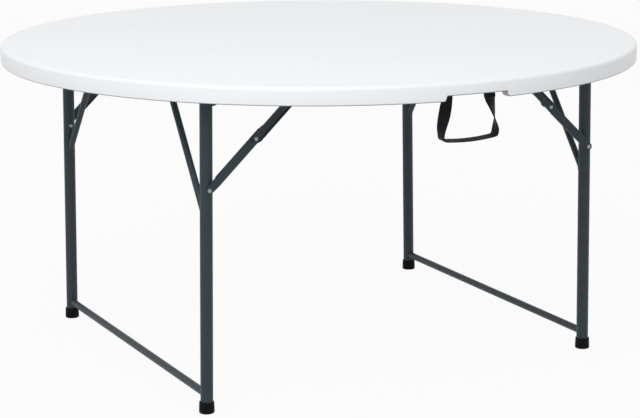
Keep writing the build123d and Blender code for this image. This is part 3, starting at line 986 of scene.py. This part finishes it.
class TABLE_OT_strap(bpy.types.Operator):
    """Woven carrying strap with sewn hems round its two bars"""
    bl_idname = "table.strap"
    bl_label = "Carrying strap"

    def execute(self, context):
        settings = context.scene.table_strap
        panel_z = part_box("tabletop")[1].z - PANEL_DEPTH
        line = self.even_steps(self.rounded(self.control_line(panel_z), 3), STATION_STEP)
        weave = woven_webbing(settings, STATION_STEP * (len(line) - 1))
        hand_over(self.webbing(line, settings), weave, "strap", "webbing", "carrying_strap")
        thread = self.stitching(line, settings, panel_z - SEAM_DROP)
        hand_over(thread, sewing_thread(tuple(settings.colour)), "strap", "webbing")
        return {"FINISHED"}

    def control_line(self, panel_z):
        """The middle line with its hems, each point with the direction of the strap's width."""
        here = [(Vector((x * MM, STRAP_Y, panel_z - drop * MM)), share)
                for x, drop, share in STRAP_LINE]
        marks = []
        for index, (place, share) in enumerate(here):
            before = here[max(index - 1, 0)][0]
            after = here[min(index + 1, len(here) - 1)][0]
            across = (after - before).normalized().cross(Vector((0, 1, 0)))
            angle = share * math.pi / 2
            marks.append((place, across * math.cos(angle) - Vector((0, 1, 0)) * math.sin(angle)))
        left = self.hem(-STRAP_BAR_X, marks[0], panel_z, False)
        right = self.hem(STRAP_BAR_X, marks[-1], panel_z, True)
        return left + marks[1:-1] + right

    def hem(self, x, mark, panel_z, outgoing):
        """The turn round a bar, with its tail sewn down behind the strap."""
        foot, width = mark
        bar_place = Vector((x, STRAP_Y, panel_z - STRAP_BAR_DROP))
        lean = (foot.x - x) / (bar_place.z - foot.z)
        front, back = ([Vector((x + lean * (drop * MM - STRAP_BAR_DROP), STRAP_Y + way * out * MM,
                                panel_z - drop * MM)) for drop, out in HEM_DROPS] for way in (1, -1))
        turns = [math.radians(angle) for angle in HEM_TURNS]
        points = front + [bar_place + HEM_RADIUS * Vector((0, math.cos(t), math.sin(t)))
                          for t in turns] + back[::-1]
        marks = [(point, width) for point in points]
        return marks[::-1] if outgoing else marks

    def rounded(self, marks, rounds):
        """Cuts the corners of the line again and again, which leaves a smooth curve."""
        for _ in range(rounds):
            finer = [(place.lerp(next_place, share), width.lerp(next_width, share))
                     for (place, width), (next_place, next_width) in zip(marks, marks[1:])
                     for share in (0.25, 0.75)]
            marks = [marks[0], *finer, marks[-1]]
        return marks

    def even_steps(self, marks, step):
        """Stations along the line at even steps: place, and the ways along it and across it."""
        lengths = [0.0]
        for (place, _), (next_place, _) in zip(marks, marks[1:]):
            lengths.append(lengths[-1] + (next_place - place).length)
        stations = []
        index = 0
        for count in range(int(lengths[-1] / step) + 1):
            wanted = count * step
            while index < len(marks) - 2 and lengths[index + 1] < wanted:
                index += 1
            share = (wanted - lengths[index]) / max(lengths[index + 1] - lengths[index], 1e-9)
            stations.append([here.lerp(there, share)
                             for here, there in zip(marks[index], marks[index + 1])])
        frames = []
        for number, (place, width) in enumerate(stations):
            before = stations[max(number - 1, 0)][0]
            after = stations[min(number + 1, len(stations) - 1)][0]
            along = (after - before).normalized()
            width = (width - along * width.dot(along)).normalized()
            frames.append((place, along, width))
        return frames

    def webbing(self, line, settings):
        """A strip of cloth laid along the line, thickened and eased at its edges."""
        deselect_all()
        bpy.ops.mesh.primitive_grid_add(x_subdivisions=WEBBING_COLUMNS, size=1, calc_uvs=True,
                                        y_subdivisions=len(line) - 1)
        strap = made("carrying_strap_webbing")
        for vertex in strap.data.vertices:
            place, _, width = line[round((vertex.co.y + 0.5) * (len(line) - 1))]
            vertex.co = place + width * vertex.co.x * (STRAP_WIDTH - WEBBING_TRIM)
        modify(strap, "SOLIDIFY", thickness=settings.thickness, offset=0.0)
        bevel(strap, WEBBING_EDGE, 2, 60)
        edit_all(strap)
        bpy.ops.mesh.normals_make_consistent(inside=False)
        finish_edit()
        smooth(strap, 50)
        return strap

    def stitching(self, line, settings, seam_z):
        """Box stitches through both layers of each hem, seen on both faces."""
        half_width, half_height = STRAP_WIDTH / 2 - BOX_MARGIN, BOX_HALF_HEIGHT
        slant = math.atan2(half_height, half_width)
        box = []
        for count in range(int(2 * half_width / STITCH_PITCH) + 1):
            across = -half_width + count * STITCH_PITCH
            box += [(across, -half_height, 0), (across, half_height, 0),
                    (across, half_height * across / half_width, slant),
                    (across, -half_height * across / half_width, -slant)]
        for count in range(int(2 * half_height / STITCH_PITCH)):
            along = -half_height + (count + 0.5) * STITCH_PITCH
            box += [(-half_width, along, math.pi / 2), (half_width, along, math.pi / 2)]
        places = []
        for way in (-1, 1):
            hem = [mark for mark in line
                   if mark[0].x * way > 0 and abs(mark[0].y - STRAP_Y) > HEM_LAYER]
            for face in (-1, 1):
                sheet = [mark for mark in hem if (mark[0].y - STRAP_Y) * face > 0]
                centre, along, width = min(sheet, key=lambda mark: abs(mark[0].z - seam_z))
                out = Vector((0, face, 0))
                for across, down, angle in box:
                    place = centre + width * across + along * down
                    place += out * (settings.thickness / 2 + STITCH_LIFT)
                    heading = width * math.cos(angle) + along * math.sin(angle)
                    turned = Matrix((heading.normalized(), out.cross(heading).normalized(), out))
                    places.append(Matrix.Translation(place) @ turned.transposed().to_4x4())
        deselect_all()
        bpy.ops.mesh.primitive_uv_sphere_add(segments=8, ring_count=6, radius=STITCH_RADIUS)
        stitch = bpy.context.object
        bpy.ops.transform.resize(value=STITCH_SHAPE, center_override=(0, 0, 0))
        settle(stitch)
        thread = copies(stitch, places, "carrying_strap_stitching")
        smooth(thread, 60)
        return thread


class TABLE_OT_stage(bpy.types.Operator):
    """Pale floor, soft light from all round and above, and the camera"""
    bl_idname = "table.stage"
    bl_label = "Stage"

    def execute(self, context):
        settings = context.scene.table_stage
        self.floor(settings)
        self.sky(settings)
        self.lamp(settings.key_power)
        self.camera(settings)
        context.scene.view_settings.view_transform = "Standard"
        return {"FINISHED"}

    def floor(self, settings):
        deselect_all()
        bpy.ops.mesh.primitive_grid_add(x_subdivisions=4, y_subdivisions=4,
                                        size=settings.floor_size, location=(0, 0, 0))
        ground = made("studio_floor")
        dress(ground, studio_floor(tuple(settings.floor_colour)))

    def sky(self, settings):
        """Even light from all round; the camera, gloss and glass see it as white."""
        world = bpy.data.worlds.new("studio_sky")
        bpy.context.scene.world = world
        world.use_nodes = True
        tree = world.node_tree
        strength = tree.nodes.new("ShaderNodeMapRange")
        strength.inputs["To Min"].default_value = settings.sky
        strength.inputs["To Max"].default_value = 1.0
        tree.links.new(seen_as_white(tree), strength.inputs["Value"])
        background = tree.nodes["Background"]
        background.inputs["Color"].default_value = WHITE
        tree.links.new(strength.outputs["Result"], background.inputs["Strength"])

    def lamp(self, power):
        deselect_all()
        bpy.ops.object.light_add(type="AREA", location=KEY_LIGHT_PLACE)
        lamp = made("key_light")
        lamp.data.size = KEY_LIGHT_SIZE
        lamp.data.energy = power
        way = Vector(KEY_LIGHT_PLACE) - Vector(KEY_LIGHT_TARGET)
        lamp.rotation_euler = way.to_track_quat("Z", "Y").to_euler()

    def camera(self, settings):
        """Where the picture was taken from, found from the top's outline and the four feet."""
        azimuth, elevation, roll = (math.radians(angle) for angle in CAMERA_ANGLES)
        back = Vector((math.sin(azimuth) * math.cos(elevation),
                       -math.cos(azimuth) * math.cos(elevation), math.sin(elevation)))
        right = (-back).cross(Vector((0, 0, 1))).normalized()
        up = right.cross(-back)
        across = right * math.cos(roll) + up * math.sin(roll)
        rise = up * math.cos(roll) - right * math.sin(roll)
        deselect_all()
        bpy.ops.object.camera_add()
        camera = made("picture_camera")
        camera.data.lens = settings.lens
        camera.data.sensor_width = SENSOR_WIDTH
        camera.data.clip_end = FARTHEST_SEEN
        place = Vector(CAMERA_TARGET) + back * CAMERA_DISTANCE
        turned = Matrix((across, rise, back)).transposed().to_4x4()
        camera.matrix_world = Matrix.Translation(place) @ turned
        bpy.context.scene.camera = camera


class TABLE_PT_sidebar(bpy.types.Panel):
    """Lists the steps that build the table and the sizes and colours they use"""
    bl_idname = "TABLE_PT_sidebar"
    bl_label = "Folding Banquet Table"
    bl_space_type = "VIEW_3D"
    bl_region_type = "UI"
    bl_category = "Table"

    def draw(self, context):
        for operator, group in STEPS:
            box = self.layout.box()
            box.operator(operator.bl_idname)
            if group:
                settings = getattr(context.scene, group)
                for name in settings.bl_rna.properties.keys():
                    if name not in ("rna_type", "name"):
                        box.prop(settings, name)


GROUPS = {
    "table_top": TopSettings, "table_frame": FrameSettings, "table_hardware": HardwareSettings,
    "table_feet": FootSettings, "table_strap": StrapSettings, "table_stage": StageSettings,
}
STEPS = (
    (TABLE_OT_stage, "table_stage"), (TABLE_OT_top, "table_top"), (TABLE_OT_frames, "table_frame"),
    (TABLE_OT_welds, None), (TABLE_OT_rivets, "table_hardware"), (TABLE_OT_screws, None),
    (TABLE_OT_feet, "table_feet"), (TABLE_OT_strap, "table_strap"),
)
CLASSES = (*GROUPS.values(), *(operator for operator, _ in STEPS), TABLE_PT_sidebar)


def register():
    for kind in CLASSES:
        bpy.utils.register_class(kind)
    for name, group in GROUPS.items():
        setattr(bpy.types.Scene, name, bpy.props.PointerProperty(type=group))


def unregister():
    for name in GROUPS:
        delattr(bpy.types.Scene, name)
    for kind in reversed(CLASSES):
        bpy.utils.unregister_class(kind)


def main():
    register()
    bpy.ops.table.stage()
    bpy.ops.table.top()
    bpy.ops.table.frames()
    bpy.ops.table.welds()
    bpy.ops.table.rivets()
    bpy.ops.table.screws()
    bpy.ops.table.feet()
    bpy.ops.table.strap()


if __name__ == "__main__":
    main()
